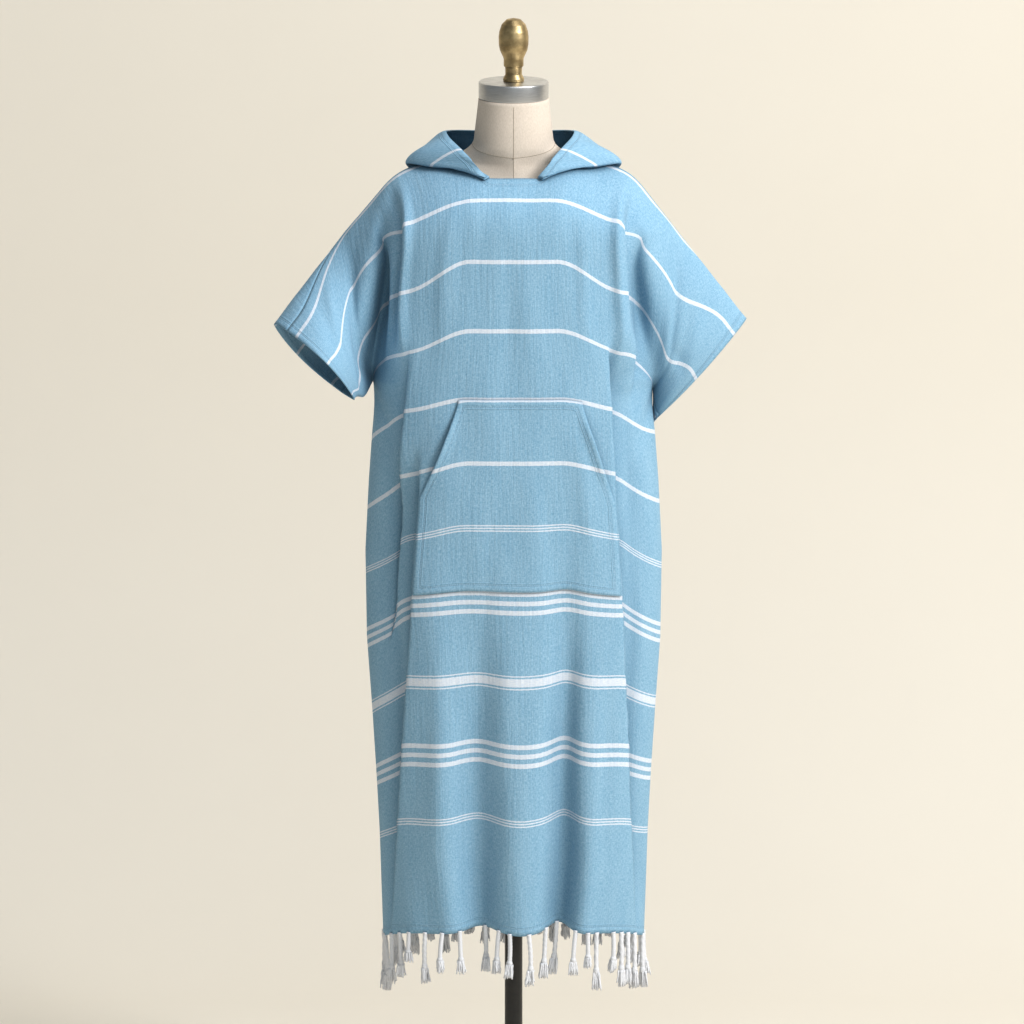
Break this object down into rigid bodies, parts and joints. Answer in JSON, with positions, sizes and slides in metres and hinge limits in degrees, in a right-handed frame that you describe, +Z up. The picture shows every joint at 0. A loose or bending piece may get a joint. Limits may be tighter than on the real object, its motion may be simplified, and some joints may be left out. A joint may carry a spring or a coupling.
{
  "type": "hooded bath poncho on dress form",
  "caption": "Sleeved hooded poncho of striped flat-woven towelling, with a kangaroo pocket and knotted fringe at its hem, hanging on a limbless dress form with a round base.",
  "frame": {"origin": "centre of the underside of the stand's base, on the floor", "axes": "+Z up along the pole; -Y is the garment's front; +X is the right side seen from the front"},
  "size_m": [0.6723, 0.38, 1.6343],
  "materials": {
    "towel_blue": "flat-woven heathered cotton with white stripes",
    "fringe_white": "twisted undyed cotton cord",
    "linen": "natural linen, stretched smooth",
    "brushed_steel": "brushed in circles",
    "brass": "antique, dull",
    "black_steel": "satin black"
  },
  "bodies": {
    "root": {"front_panel": "towel_blue", "back_panel": "towel_blue", "hood_left": "towel_blue", "hood_right": "towel_blue", "kangaroo_pocket": "towel_blue", "fringe_front": "fringe_white", "fringe_back": "fringe_white", "form_body": "linen", "neck_cap": "brushed_steel", "finial": "brass", "pole": "black_steel", "stand_base": "black_steel"}
  },
  "joints": []
}
